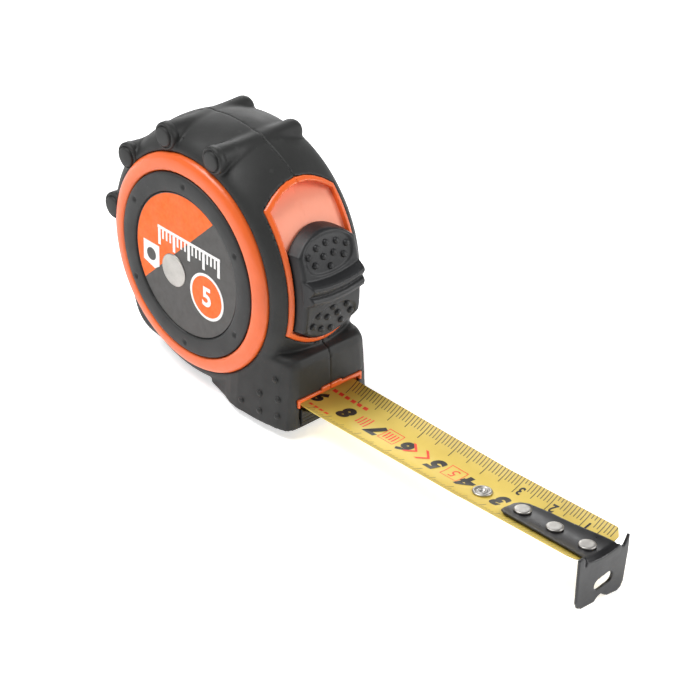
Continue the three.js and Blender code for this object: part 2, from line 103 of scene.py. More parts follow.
def outline_distance(u, v, points):
    """Signed distance to a closed outline, negative inside."""
    nearest = np.full(u.shape, 1e9)
    sign = np.ones(u.shape)
    for (u0, v0), (u1, v1) in zip(points, points[1:] + points[:1]):
        eu, ev = u1 - u0, v1 - v0
        wu, wv = u - u0, v - v0
        t = np.clip((wu * eu + wv * ev) / (eu * eu + ev * ev), 0, 1)
        nearest = np.minimum(nearest, (wu - eu * t) ** 2 + (wv - ev * t) ** 2)
        above, below, left = v >= v0, v < v1, eu * wv > ev * wu
        crossed = (above & below & left) | (~above & ~below & ~left)
        sign = np.where(crossed, -sign, sign)
    return sign * np.sqrt(nearest)


def block(x, y, z, low, high):
    """Signed distance to a box, exact inside and near its faces."""
    middle = [(a + b) / 2 for a, b in zip(low, high)]
    half = [(b - a) / 2 for a, b in zip(low, high)]
    gaps = [np.abs(p - m) - h for p, m, h in zip((x, y, z), middle, half)]
    return np.maximum(np.maximum(gaps[0], gaps[1]), gaps[2])


def blocks(x, y, z, boxes):
    """Signed distance to several boxes taken together."""
    return np.minimum.reduce([block(x, y, z, low, high) for low, high in boxes])


def ball(x, y, z, centre, radius):
    return np.sqrt((x - centre[0]) ** 2 + (y - centre[1]) ** 2 + (z - centre[2]) ** 2) - radius


def polar(radius, degrees):
    angle = math.radians(degrees)
    return radius * math.cos(angle), AXIS_Z + radius * math.sin(angle)


def arched(half, corner, top, bottom, steps=8):
    """Outline with straight sides and arched ends."""
    points = []
    for end, reach in ((1, top), (-1, bottom)):
        for i in range(steps + 1):
            across = half - 2 * half * i / steps
            points.append((end * across, end * (corner + (reach - corner) * (1 - (across / half) ** 2))))
    return points


def seen_from(x, z, degrees):
    """Coordinates along a direction from the reel axis, and upwards across it."""
    angle = math.radians(degrees)
    along = x * math.cos(angle) + (z - AXIS_Z) * math.sin(angle)
    across = (z - AXIS_Z) * math.cos(angle) - x * math.sin(angle)
    return along, across


def surface(field, low, high, cell):
    """Vertices and quads of the closed surface where field is zero."""
    low = np.array(low, float)
    counts = np.ceil((np.array(high, float) - low) / cell).astype(int) + 1
    axes = [low[i] + cell * np.arange(counts[i]) for i in range(3)]
    inside = field(*np.meshgrid(*axes, indexing="ij")) < 0
    filled = np.zeros(counts - 1, int)
    for i, j, k in np.ndindex(2, 2, 2):
        filled += inside[i:i + counts[0] - 1, j:j + counts[1] - 1, k:k + counts[2] - 1]
    mixed = (filled > 0) & (filled < 8)
    index = np.full(mixed.shape, -1)
    index[mixed] = np.arange(mixed.sum())
    centres = low + (np.argwhere(mixed) + 0.5) * cell
    quads = []
    for axis in range(3):
        u, v = (axis + 1) % 3, (axis + 2) % 3
        here = np.moveaxis(inside, axis, 0)
        edge = here[:-1] != here[1:]
        leaving = here[:-1] & edge
        places = np.argwhere(np.moveaxis(edge, 0, axis))
        outgoing = np.moveaxis(leaving, 0, axis)[tuple(places.T)]
        corners = []
        for du, dv in ((-1, -1), (0, -1), (0, 0), (-1, 0)):
            spot = places.copy()
            spot[:, u] += du
            spot[:, v] += dv
            corners.append(index[tuple(spot.T)])
        quad = np.stack(corners, axis=1)
        quad[~outgoing] = quad[~outgoing][:, ::-1]
        quads.append(quad)
    points = pulled(field, centres, cell)
    return points, np.concatenate(quads)


def pulled(field, centres, cell):
    """Points moved onto the surface along the field's slope, at most about a cell."""
    points = centres.copy()
    step = cell * 0.05
    for _ in range(6):
        value = field(*points.T)
        slope = np.stack([(field(*(points + step * unit).T) - field(*(points - step * unit).T)) / (2 * step)
                          for unit in np.eye(3)], axis=1)
        length = np.maximum((slope ** 2).sum(axis=1), 0.1)
        points -= 0.9 * (value / length)[:, None] * slope
        offset = np.clip(points - centres, -0.75 * cell, 0.75 * cell)
        points = centres + offset
    return points


# ---- objects
def new_object(name, points, faces, material, smooth=True):
    mesh = bpy.data.meshes.new(name)
    mesh.from_pydata((np.array(points) * MM).tolist(), [], [list(map(int, f)) for f in faces])
    mesh.update()
    if smooth:
        mesh.shade_smooth()
    mesh.materials.append(MATERIALS[material])
    thing = bpy.data.objects.new(name, mesh)
    bpy.context.collection.objects.link(thing)
    return thing


def outward(thing):
    """Makes every face of a closed mesh point out."""
    work = bmesh.new()
    work.from_mesh(thing.data)
    bmesh.ops.recalc_face_normals(work, faces=work.faces)
    work.to_mesh(thing.data)
    work.free()
    return thing


def moulded(name, field, low, high, cell, material):
    points, quads = surface(field, low, high, cell)
    return new_object(name, points, quads, material)


def fitted(thing, body, slot, *nodes):
    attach(thing, body)
    if nodes:
        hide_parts(*nodes)
    return thing


def turned_shape(profile, centre, axis, segments=48):
    """Points and faces turned from (radius, height) pairs about an axis through centre."""
    axis = Vector(axis)
    side = axis.orthogonal().normalized()
    other = axis.cross(side)
    points = []
    faces = []
    rings = []
    for radius, height in profile:
        base = Vector(centre) + axis * height
        if radius == 0:
            rings.append([len(points)])
            points.append(base)
            continue
        ring = []
        for i in range(segments):
            angle = 2 * math.pi * i / segments
            ring.append(len(points))
            points.append(base + radius * (math.cos(angle) * side + math.sin(angle) * other))
        rings.append(ring)
    for low, high in zip(rings, rings[1:]):
        for i in range(segments):
            j = (i + 1) % segments
            a, b = low[i % len(low)], low[j % len(low)]
            c, d = high[j % len(high)], high[i % len(high)]
            corners = list(dict.fromkeys((a, b, c, d)))
            if len(corners) > 2:
                faces.append(corners)
    return [tuple(p) for p in points], faces


def turned(name, profile, centre, axis, material, segments=48):
    return outward(new_object(name, *turned_shape(profile, centre, axis, segments), material))


def studded(name, profile, places, material, segments=24):
    """One mesh of equal turned solids, one at each (centre, axis)."""
    points, faces = [], []
    for centre, axis in places:
        more_points, more_faces = turned_shape(profile, centre, axis, segments)
        faces += [[index + len(points) for index in face] for face in more_faces]
        points += more_points
    return outward(new_object(name, points, faces, material))


def settled(field, point):
    """The place on a field's surface nearest to a point, and the direction out of it."""
    spot = np.array(point, float)
    step = 0.05
    for _ in range(4):
        slope = np.array([(field(*(spot + step * unit)) - field(*(spot - step * unit))) / (2 * step)
                          for unit in np.eye(3)])
        spot = spot - float(field(*spot)) * slope / (slope ** 2).sum()
    return tuple(spot), tuple(slope / np.sqrt((slope ** 2).sum()))


def soften(thing, width):
    """Rounds the sharp edges of a mesh and keeps its flat faces flat."""
    bevel = thing.modifiers.new("rounded", "BEVEL")
    bevel.width = width * MM
    bevel.segments = 2
    bevel.limit_method = "ANGLE"
    bevel.angle_limit = math.radians(30)
    bevel.harden_normals = True
    return thing


# ---- materials
def shader(name, color, roughness, metallic=0.0, coat=(0.0, 0.03)):
    material = bpy.data.materials.new(name)
    material.use_nodes = True
    main = material.node_tree.nodes["Principled BSDF"]
    main.inputs["Base Color"].default_value = (*color, 1)
    main.inputs["Roughness"].default_value = roughness
    main.inputs["Metallic"].default_value = metallic
    main.inputs["Coat Weight"].default_value = coat[0]
    main.inputs["Coat Roughness"].default_value = coat[1]
    return material, material.node_tree, main


def noise(tree, scale, detail=4.0, roughness=0.55, stretch=None):
    """Noise with scale features per millimetre; stretch squeezes it along the axes."""
    texture = tree.nodes.new("ShaderNodeTexNoise")
    texture.inputs["Scale"].default_value = scale / MM
    texture.inputs["Detail"].default_value = detail
    texture.inputs["Roughness"].default_value = roughness
    place = tree.nodes.new("ShaderNodeTexCoord").outputs["Object"]
    if stretch:
        mapping = tree.nodes.new("ShaderNodeMapping")
        mapping.inputs["Scale"].default_value = stretch
        tree.links.new(place, mapping.inputs["Vector"])
        place = mapping.outputs["Vector"]
    tree.links.new(place, texture.inputs["Vector"])
    return texture.outputs["Fac"]


def ramp(tree, factor, stops):
    node = tree.nodes.new("ShaderNodeValToRGB")
    elements = node.color_ramp.elements
    while len(elements) < len(stops):
        elements.new(0.5)
    for element, (position, value) in zip(elements, stops):
        element.position = position
        element.color = (*value, 1) if isinstance(value, tuple) else (value, value, value, 1)
    tree.links.new(factor, node.inputs["Fac"])
    return node.outputs["Color"]


def mottled(tree, scale, detail, stops):
    return ramp(tree, noise(tree, scale, detail), stops)


def mix(tree, factor, a, b):
    node = tree.nodes.new("ShaderNodeMix")
    node.data_type = "RGBA"
    for socket, value in ((node.inputs["Factor"], factor), (node.inputs["A"], a), (node.inputs["B"], b)):
        if isinstance(value, (int, float)):
            socket.default_value = value
        elif isinstance(value, tuple):
            socket.default_value = (*value, 1)
        else:
            tree.links.new(value, socket)
    return node.outputs["Result"]


def rubbed(tree, low, high, scale, detail):
    """Patches along the sharp edges."""
    edge = tree.nodes.new("ShaderNodeNewGeometry").outputs["Pointiness"]
    worn = ramp(tree, edge, [(low, 0.0), (high, 1.0)])
    return mix(tree, noise(tree, scale, detail), (0, 0, 0), worn)


def add_bump(tree, main, height, distance, strength, before=None):
    node = tree.nodes.new("ShaderNodeBump")
    node.inputs["Strength"].default_value = strength
    node.inputs["Distance"].default_value = distance * MM
    tree.links.new(height, node.inputs["Height"])
    if before is not None:
        tree.links.new(before, node.inputs["Normal"])
    tree.links.new(node.outputs["Normal"], main.inputs["Normal"])
    return node.outputs["Normal"]


def finish(tree, main, tone, gloss):
    tree.links.new(tone, main.inputs["Base Color"])
    tree.links.new(gloss, main.inputs["Roughness"])


def make_rubber(name, dark, light, roughness):
    """Moulded rubber: cloudy bloom, fine grain, light dust and paler worn edges."""
    material, tree, main = shader(name, dark, roughness[0])
    main.inputs["Specular IOR Level"].default_value = 0.42
    cloud = mottled(tree, 0.09, 5, [(0.3, dark), (0.72, light)])
    base = mix(tree, rubbed(tree, 0.52, 0.62, 0.8, 3), cloud, tuple(1.7 * c for c in light))
    specks = ramp(tree, noise(tree, 2.6, 2, 0.6), [(0.735, 0.0), (0.765, 1.0)])
    base = mix(tree, specks, base, tuple(3.2 * c for c in light))
    gloss = mottled(tree, 0.16, 4, [(0.3, roughness[0]), (0.75, roughness[1])])
    finish(tree, main, base, gloss)
    coarse = add_bump(tree, main, noise(tree, 1.1, 3), 0.05, 0.35)
    add_bump(tree, main, noise(tree, 5.0, 2), 0.02, 0.5, coarse)
    return material


def make_moulding(name, color, roughness, coat, grain=0.012, deep=0.82):
    """Glossy moulded plastic with faint flow marks and fine scratches."""
    material, tree, main = shader(name, color, roughness, coat=(coat, 0.18))
    deeper = tuple(c * deep for c in color)
    tone = mottled(tree, 0.07, 4, [(0.3, deeper), (0.7, color)])
    scratch = noise(tree, 0.5, 3, 0.6, (1, 6, 1))
    gloss = ramp(tree, scratch, [(0.3, roughness * 0.85), (0.75, roughness * 1.3)])
    finish(tree, main, tone, gloss)
    add_bump(tree, main, noise(tree, 2.4, 3), grain, 0.5)
    return material


def make_metal(name, color, roughness, stretch, dirt=0.75):
    """Bare or plated metal with a drawn grain and faint tarnish."""
    material, tree, main = shader(name, color, roughness, 1.0)
    dull = tuple(c * dirt for c in color)
    tone = mottled(tree, 0.3, 4, [(0.28, dull), (0.62, color)])
    grain = noise(tree, 1.6, 3, 0.6, stretch)
    gloss = ramp(tree, grain, [(0.25, roughness * 0.75), (0.8, roughness * 1.35)])
    finish(tree, main, tone, gloss)
    add_bump(tree, main, grain, 0.012, 0.5)
    return material


def make_blade():
    """Yellow enamel under a clear nylon coat, slightly smudged."""
    yellow, ochre = (0.80, 0.60, 0.115), (0.68, 0.49, 0.085)
    material, tree, main = shader("blade_enamel", yellow, 0.5, coat=(0.18, 0.4))
    tone = mottled(tree, 0.06, 5, [(0.3, ochre), (0.62, yellow)])
    smear = noise(tree, 0.25, 4, 0.6, (0.4, 1.6, 1))
    finish(tree, main, tone, ramp(tree, smear, [(0.3, 0.46), (0.75, 0.56)]))
    add_bump(tree, main, noise(tree, 1.8, 3), 0.008, 0.5)
    return material


def make_enamel(name, color, roughness, coat, wear):
    """Baked enamel on sheet metal, with orange peel and rubbed edges."""
    material, tree, main = shader(name, color, roughness, coat=(coat, 0.12))
    lighter = tuple(c * 1.8 for c in color)
    tone = mottled(tree, 0.12, 4, [(0.3, color), (0.75, lighter)])
    tone = mix(tree, rubbed(tree, 0.53, 0.66, 0.9, 4), tone, wear)
    gloss = mottled(tree, 0.35, 4, [(0.3, roughness * 0.8), (0.75, roughness * 1.3)])
    finish(tree, main, tone, gloss)
    add_bump(tree, main, noise(tree, 1.2, 2), 0.006, 0.4)
    return material


def make_ink(name, color, roughness):
    """Screen-printed ink with slightly uneven cover."""
    material, tree, main = shader(name, color, roughness)
    thin = tuple(min(1.0, c * 1.25 + 0.012) for c in color)
    cover = mottled(tree, 0.9, 4, [(0.35, color), (0.75, thin)])
    gloss = mottled(tree, 0.3, 3, [(0.3, roughness * 0.85), (0.7, roughness * 1.2)])
    finish(tree, main, cover, gloss)
    return material


MATERIALS = {
    "rubber": make_rubber("rubber_black", (0.013, 0.0135, 0.013), (0.021, 0.0215, 0.021), (0.5, 0.64)),
    "lock": make_rubber("rubber_lock", (0.011, 0.0115, 0.0125), (0.017, 0.0175, 0.019), (0.4, 0.52)),
    "cap": make_rubber("cap_grey", (0.019, 0.0195, 0.0195), (0.026, 0.0265, 0.0265), (0.5, 0.62)),
    "orange": make_moulding("shell_orange", (0.90, 0.145, 0.022), 0.36, 0.16),
    # paler salmon than the shell's orange: a painted sheen, the reflection of the bright surroundings on
    # the track
    "track": make_moulding("track_painted_sheen", (1.0, 0.335, 0.2), 0.45, 0.0, 0.006, 0.95),
    "label_dark": make_moulding("label_charcoal", (0.034, 0.031, 0.028), 0.42, 0.15, 0.004),
    "label_orange": make_ink("label_orange_ink", (0.87, 0.125, 0.004), 0.62),
    "label_white": make_ink("label_white_ink", (0.86, 0.84, 0.82), 0.4),
    "blade": make_blade(),
    "ink_black": make_ink("blade_black_ink", (0.018, 0.016, 0.013), 0.45),
    "ink_brown": make_ink("blade_scale_ink", (0.085, 0.060, 0.018), 0.45),
    "ink_faint": make_ink("blade_faint_ink", (0.25, 0.20, 0.075), 0.5),
    "ink_red": make_ink("blade_red_ink", (0.80, 0.060, 0.022), 0.45),
    "hook": make_enamel("hook_enamel", (0.007, 0.007, 0.008), 0.34, 0.12, (0.07, 0.07, 0.08)),
    "nickel": make_metal("nickel_plate", (0.47, 0.455, 0.43), 0.42, (1, 1, 1), 0.86),
    "steel": make_metal("brushed_steel", (0.58, 0.58, 0.60), 0.32, (9, 1, 1)),
    "spring": make_metal("spring_steel", (0.26, 0.27, 0.29), 0.35, (1, 9, 1)),
    "reel": make_moulding("reel_black", (0.022, 0.022, 0.023), 0.5, 0.0),
}


# ---- case fields
SNOUT_SIDE = [(4, -4), (35.3, -4), (35.35, 0), (35.6, 10.3), (35.05, 17.0), (34.1, 18.6),
              (32.2, 19.25), (4, 19.2)]  # in (x, z)
SNOUT_PLAN = [(3, -40), (35.6, -40), (35.6, 9.2), (35.35, 11.2), (34, 13.1), (31, 14.15),
              (26, 14.95), (18, 15.4), (15, 14.95), (12, 13.9), (8, 12.9), (3, 11.8)]  # in (x, |y|)
SNOUT_DRAFT = 0.09  # its sides lean in by this much per millimetre of height
SNOUT_BUMPS = ((30.1, 13.2), (25.5, 7.8), (19.6, 3.2), (31.6, 8.2), (25.9, 3.1), (31.7, 3.7))  # (x, z)
RIB_NEAR, RIB_FAR = -14.15, 12.9  # ends of the grip ribs
FOOT_HALF = 14
JACKET_BORE = 28.3  # radius of the jacket's round side opening
JACKET_MOUTH = (((30, -10.5, 6.1), (40, 10.5, 8.6)), ((30, -3.0, 6.1), (40, 3.7, 9.2)),
                ((30, -9.75, 2.6), (40, 9.75, 7)), ((32.6, -9.4, 0.9), (40, 9.4, 5)))
SHELL_LIP = (((33, -10.4, 6.2), (35.3, 10.4, 8.5)), ((33, -2.9, 8), (35.3, 3.6, 9.1)))
SHELL_CHANNEL = (((-8.6, -9.8, 2.8), (60, 9.8, 7.5)), ((32.3, -9.7, -5), (60, 9.7, 3.3)))
SCREW_BORE = (28.4, 13)  # screw in the snout's far side, (x, z)


def crown_field(x, y, z):
    across = np.minimum(np.abs(y), HALF_WIDTH + 0.2)
    shoulder = SHOULDER_DROP * (across / HALF_WIDTH) ** 12
    slope = 2 * CROWN_CURVE * across + 12 * shoulder / HALF_WIDTH
    radius = CROWN_TOP - CROWN_CURVE * across ** 2 - shoulder
    rim = (np.hypot(x, z - AXIS_Z) - radius) / np.sqrt(1 + slope ** 2)
    return smooth_max(rim, np.abs(y) - HALF_WIDTH, 0.9)


def case_field(x, y, z):
    side = outline_distance(x, z, SNOUT_SIDE)
    plan = outline_distance(x, np.abs(y) + SNOUT_DRAFT * z, SNOUT_PLAN)
    snout = round_max(side, plan, 1.9)
    whole = smooth_min(crown_field(x, y, z), snout, 0.9)
    return round_max(whole, -z, 0.35)


def rib_field(x, y, z, degrees, orbit):
    """Rod across the crown: a thick squared end on the near side, a rounded end on the far side."""
    centre_x, centre_z = polar(orbit, degrees)
    radius = 2.75 + 0.75 * np.clip(-y / 14, 0, 1) ** 2 + 0.2 * np.clip(y / 10, 0, 1) ** 2
    gap = np.hypot(x - centre_x, z - centre_z)
    return round_max(round_max(gap - radius, RIB_NEAR - y, 0.6), y - RIB_FAR, 2.6)


def foot_field(x, y, z):
    centre_x, centre_z = polar(FOOT_ORBIT, FOOT_ANGLE)
    rod = np.hypot(x - centre_x, z - centre_z) - FOOT_RADIUS
    return round_max(rod, np.abs(y) - FOOT_HALF, 1.6)


def opening_field(x, y, z, outline, grow, middle):
    along, across = seen_from(x, z, middle)
    face = outline_distance(y, across, arched(*outline)) - grow
    return np.maximum(face, 24 - along)


def jacket_field(x, y, z):
    case = case_field(x, y, z)
    whole = case
    for degrees, orbit in RIBS:
        whole = smooth_min(whole, rib_field(x, y, z, degrees, orbit), 0.85)
    whole = smooth_min(whole, foot_field(x, y, z), 0.8)
    whole = round_max(whole, -z, 0.35)
    whole = smooth_max(whole, -(case + JACKET), 0.3)
    whole = smooth_max(whole, JACKET_BORE - np.hypot(x, z - AXIS_Z), 0.5)
    whole = smooth_max(whole, -opening_field(x, y, z, FRAME_OUTLINE, 0.05, LOCK_MIDDLE), 0.4)
    whole = smooth_max(whole, -blocks(x, y, z, JACKET_MOUTH), 0.3)
    bore = np.minimum(2.4 - np.hypot(x - SCREW_BORE[0], z - SCREW_BORE[1]), y - 8)
    return smooth_max(whole, bore, 0.2)


def half_of(field, side, gap, edge=0.25):
    """The near (side -1) or far (side 1) half of a field, gap away from the middle plane."""
    return lambda x, y, z: smooth_max(field(x, y, z), gap - side * y, edge)


# side ring in (radius, depth); the shell's hollow as depths and the radius at each
RING_PROFILE = [(28.14, 12), (28.14, 14.5), (27.75, 15.15), (27.1, 15.6), (26.2, 15.9), (25.2, 16.03),
                (24.4, 16.0), (24.0, 15.7), (24.0, 12)]
CAVITY_RADIUS = ((0, 8, 11, 12), (29.4, 28.8, 27.2, 26))


def shell_field(x, y, z):
    case = case_field(x, y, z)
    radius = np.hypot(x, z - AXIS_Z)
    across = np.abs(y)
    core = smooth_max(case + SHELL, -opening_field(x, y, z, FRAME_OUTLINE, -0.5, LOCK_MIDDLE), 0.3)
    walls = np.maximum(radius - 25, across - 14.2)
    ring = outline_distance(radius, across, RING_PROFILE)
    whole = np.minimum(np.minimum(core, walls), ring)
    cavity = np.maximum(radius - np.interp(across, *CAVITY_RADIUS), across - 12)
    whole = np.maximum(whole, -cavity)
    whole = np.minimum(whole, blocks(x, y, z, SHELL_LIP))
    return smooth_max(whole, -blocks(x, y, z, SHELL_CHANNEL), 0.25)


def frame_field(x, y, z):
    """Raised rim round the lock opening."""
    opening = opening_field(x, y, z, FRAME_OUTLINE, 0, LOCK_MIDDLE)
    rim = round_max(case_field(x, y, z) - 0.08, opening, 0.4)
    rim = round_max(rim, -opening - FRAME_BAND, 0.25)
    return round_max(rim, 29.6 - np.hypot(x, z - AXIS_Z), 0.2)


def track_field(x, y, z):
    """Floor that the lock slides on, with a shallow parting groove; its salmon colour, paler than the
    shell, is a painted sheen.
    """
    radius = np.hypot(x, z - AXIS_Z)
    groove = 0.1 * np.clip(1 - np.abs(y) / 0.22, 0, 1)
    floor = round_max(radius - TRACK_RADIUS + groove, 29.4 - radius, 0.2)
    return np.maximum(floor, opening_field(x, y, z, FRAME_OUTLINE, -0.5, LOCK_MIDDLE))


# turned profiles in (radius, height): the button end of a rib, and a small bump
RIB_END = [(0, -15.1), (1.9, -15.08), (2.25, -15.0), (2.42, -14.85), (2.45, -14.6), (2.5, -14.3),
           (2.68, -14.3), (2.78, -14.5), (2.95, -14.56), (3.22, -14.48), (3.42, -14.28), (3.5, -14.0),
           (3.5, -12.6), (0, -12.6)]
BUMP = [(0, 0.6), (0.28, 0.57), (0.53, 0.47), (0.72, 0.3), (0.83, 0.08), (0.88, -0.2), (0.9, -0.7),
        (0, -0.7)]


def build_grips():
    """Stepped near ends of the ribs, and the bumps on both sides of the snout."""
    ends = []
    for degrees, orbit in RIBS:
        centre_x, centre_z = polar(orbit, degrees)
        ends.append(((centre_x, 0, centre_z), (0, 1, 0)))
    fitted(studded("grip_rib_ends", RIB_END, ends, "rubber", 48), "case", "rubber")
    for side, name in ((-1, "near"), (1, "far")):
        places = [settled(case_field, (x, side * 15, z)) for x, z in SNOUT_BUMPS]
        fitted(studded(f"snout_bumps_{name}", BUMP, places, "rubber"), "case", "rubber")


CASE_CELL = 0.46  # mesh size of the jacket and the shell


def build_case():
    low, high = (-37, -16.6, -0.8), (37, 16.6, 68)
    for side, name in ((-1, "near"), (1, "far")):
        from_y, to_y = (low[1], 0.6) if side < 0 else (-0.6, high[1])
        span = ((low[0], from_y, low[2]), (high[0], to_y, high[2]))
        skin, body = half_of(jacket_field, side, 0.01, 0.2), half_of(shell_field, side, 0.04)
        fitted(moulded(f"jacket_{name}_skin", skin, *span, CASE_CELL, "rubber"),
               "case", "rubber", f"jacket_{name}")
        fitted(moulded(f"shell_{name}_body", body, *span, CASE_CELL, "orange"),
               "case", "orange", f"shell_{name}")
        span = ((15, -11.6, 14), (36.5, 0.5, 62)) if side < 0 else ((15, -0.5, 14), (36.5, 11.6, 62))
        rim = half_of(frame_field, side, 0.0, 0.12)
        fitted(moulded(f"lock_frame_{name}", rim, *span, 0.27, "orange"), "case", "orange")
    build_grips()
    fitted(moulded("lock_track", track_field, (15, -11.2, 14), (32.5, 11.2, 62), 0.4, "track"),
           "case", "orange")


# ---- side caps and label
CAP_RADIUS, LABEL_RADIUS = 23.75, 18.9  # outside, and the recess for the label
CAP_FACE, CAP_BACK = 16.4, 14.5  # depths
LABEL_FACE = 15.8
LABEL_PRINT = LABEL_FACE + 0.03  # face of the lowest layer of print
LABEL_SPLIT = ((-16.3, -10.4), (10.3, 15.4))  # line between its two tones
LABEL_TICKS, TICK_PITCH = (-9.8, 6.4), 1.38  # top of the first tick of its ruler
BADGE = (7.9, -5.3)
SEAL_PROFILE = [(0, -0.05), (4.3, -0.05), (4.3, 0.1), (4.05, 0.2), (3.7, 0.12), (3.3, 0.12), (3.1, 0.2),
                (1.6, 0.14), (0.9, 0.24), (0, 0.26)]


def cap_field(x, y, z):
    radius = np.hypot(x, z - AXIS_Z)
    dome = CAP_FACE - 0.35 * ((radius - 21.2) / 2.6) ** 2
    plate = smooth_max(radius - CAP_RADIUS, y - dome, 0.5)
    plate = smooth_max(plate, CAP_BACK - y, 0.2)
    recess = np.maximum(radius - LABEL_RADIUS, 15.45 - y)
    plate = smooth_max(plate, -recess, 0.25)
    for i in range(6):
        centre_x, centre_z = polar(21.5, 30 + 60 * i)
        plate = smooth_max(plate, -ball(x, y, z, (centre_x, 16.75, centre_z), 0.85), 0.25)
    return plate


def disc_points(radius, segments=96, keep=None):
    """Round outline; keep is a line (start, end), and what is left of it stays."""
    ring = []
    for i in range(segments):
        angle = 2 * math.pi * i / segments
        ring.append((radius * math.cos(angle), radius * math.sin(angle)))
    return ring if keep is None else clipped(ring, *keep)


def clipped(outline, start, end):
    """Keeps the part of an outline to the left of the line from start to end."""
    du, dv = end[0] - start[0], end[1] - start[1]
    sides = [du * (v - start[1]) - dv * (u - start[0]) for u, v in outline]
    kept = []
    for i, (u, v) in enumerate(outline):
        w, q = outline[i - 1]
        a, b = sides[i - 1], sides[i]
        if (a > 0) != (b > 0):
            share = a / (a - b)
            kept.append((w + share * (u - w), q + share * (v - q)))
        if b > 0:
            kept.append((u, v))
    return kept


def side_plate(name, outline, side, face, thickness, material):
    """Flat piece on a side of the case, outline in (x, height above the axis)."""
    count = len(outline)
    back = [(u, side * (face - thickness), AXIS_Z + v) for u, v in outline]
    front = [(u, side * face, AXIS_Z + v) for u, v in outline]
    faces = [list(range(count)), list(range(2 * count - 1, count - 1, -1))]
    faces += [(i, (i + 1) % count, (i + 1) % count + count, i + count) for i in range(count)]
    return outward(new_object(name, back + front, faces, material, smooth=False))


def moved(outline, u, v):
    return [(u + a, v + b) for a, b in outline]


def lettering(text, height, bold, slant):
    """Outline of plain digits as a flat mesh: points and faces, centred, at the given height."""
    curve = bpy.data.curves.new("digits", "FONT")
    curve.body = text
    curve.align_x = "CENTER"
    curve.align_y = "CENTER"
    curve.offset = bold
    curve.shear = slant
    curve.resolution_u = 4
    thing = bpy.data.objects.new("digits", curve)
    mesh = bpy.data.meshes.new_from_object(thing)
    work = bmesh.new()
    work.from_mesh(mesh)
    bmesh.ops.remove_doubles(work, verts=work.verts, dist=0.0005)
    bmesh.ops.triangulate(work, faces=work.faces)
    points = np.array([v.co[:2] for v in work.verts])
    faces = [[v.index for v in f.verts] for f in work.faces]
    work.free()
    bpy.data.objects.remove(thing)
    bpy.data.curves.remove(curve)
    bpy.data.meshes.remove(mesh)
    middle = (points.max(axis=0) + points.min(axis=0)) / 2
    scale = height / (points[:, 1].max() - points[:, 1].min())
    return (points - middle) * scale, faces


def build_caps():
    def near_field(x, y, z):
        return cap_field(x, -y, z)

    def far_field(x, y, z):
        return smooth_max(cap_field(x, y, z), 1.9 - np.hypot(x, z - AXIS_Z), 0.2)

    for name, field, low_y, high_y in (("near", near_field, -17, -14), ("far", far_field, 14, 17)):
        cap = moulded(f"side_cap_{name}_plate", field, (-25, low_y, AXIS_Z - 25),
                      (25, high_y, AXIS_Z + 25), 0.36, "cap")
        fitted(cap, "case", "dark_plastic", f"side_cap_{name}")
    for side, name in ((-1, "near"), (1, "far")):
        disc = side_plate(f"label_{name}_plate", disc_points(18.62), side, LABEL_FACE, 0.3,
                          "label_dark")
        fitted(soften(disc, 0.1), "case", "label", f"label_disc_{name}")


def label_piece(name, outline, layer, material):
    """Print on the near label, the given number of layers up."""
    plate = side_plate(name, outline, -1, LABEL_PRINT + 0.05 * layer, 0.06, material)
    fitted(plate, "case", "label")


def build_label_print():
    """Two-tone print with a ruler band, a plain tag, a silver seal and a round length badge."""
    white, orange = "label_white", "label_orange"
    label_piece("label_orange_field", disc_points(18.4, keep=LABEL_SPLIT), 0, orange)
    left, top = LABEL_TICKS
    for i in range(17):
        length, half = (4.6, 0.45) if i % 4 == 0 else (2.6, 0.3)
        u = left + TICK_PITCH * i
        tick = [(u - half, top - length), (u + half, top - length), (u + half, top), (u - half, top)]
        label_piece(f"label_tick_{i + 1:02d}", tick, 1, white)
    label_piece("label_rule", [(-10.4, 6.3), (12.8, 6.3), (12.8, 7.1), (-10.4, 7.1)], 1, white)
    tag = [(-3, 3.4), (-3, -2.2), (1.2, -3.4), (3, -2.2), (3, 3.4)]
    label_piece("label_tag", moved(tag, -13.0, -2.4), 1, white)
    label_piece("label_tag_dot", moved(disc_points(1.7, 40), -13.0, -2.2), 2, "label_dark")
    seal = turned("label_seal", SEAL_PROFILE, (-4.5, -LABEL_PRINT, AXIS_Z - 3.2), (0, -1, 0),
                  "nickel", 64)
    fitted(seal, "case", "label")
    label_piece("label_badge_rim", moved(disc_points(6.2, 72), *BADGE), 1, white)
    label_piece("label_badge", moved(disc_points(5.45, 72), *BADGE), 2, orange)
    points, faces = lettering("5", 5.4, 0.03, 0.0)
    spots = [(BADGE[0] + u, -(LABEL_PRINT + 0.15), AXIS_Z + BADGE[1] + v) for u, v in points]
    fitted(new_object("label_badge_digit", spots, faces, white, smooth=False), "case", "label")


# ---- thumb lock
# studs: place across in millimetres and round the axis in degrees
STUDS = ((0, 24), (3.1, 23.2), (-3.1, 23.2), (5.9, 20.8), (-5.9, 20.8), (1.6, 19.2), (-1.6, 19.2),
         (4.5, 17), (-4.5, 17), (0, 14.6),
         (0.2, -3.0), (4.6, -4.3), (-4.4, -4.5), (1.8, -6.7), (-1.5, -6.7), (6.1, -8.3), (-5.9, -8.6),
         (3.3, -11.2), (-3, -11.4), (0.2, -13))
STUD_SINK = 0.28
PADS = ((12.4, 4.6), (-5.5, 4.3))  # sunk ovals for the studs: middle and half length round the axis
PAD_HALF = 7.2  # half their width
PAD_DEPTH = 0.4
RIDGE_HALF = 8.9  # half the cross ridge's width; its outline is in (radius, arc)
RIDGE = [(34.4, 8.4), (36.2, 7.6), (37.4, 6.9), (37.9, 6.4), (37.9, 5.8), (37.2, 4.9), (36.7, 4.3),
         (37.3, 3.8), (37.6, 3.2), (37.3, 2.4), (36.2, 1.7), (34.4, 1.0)]


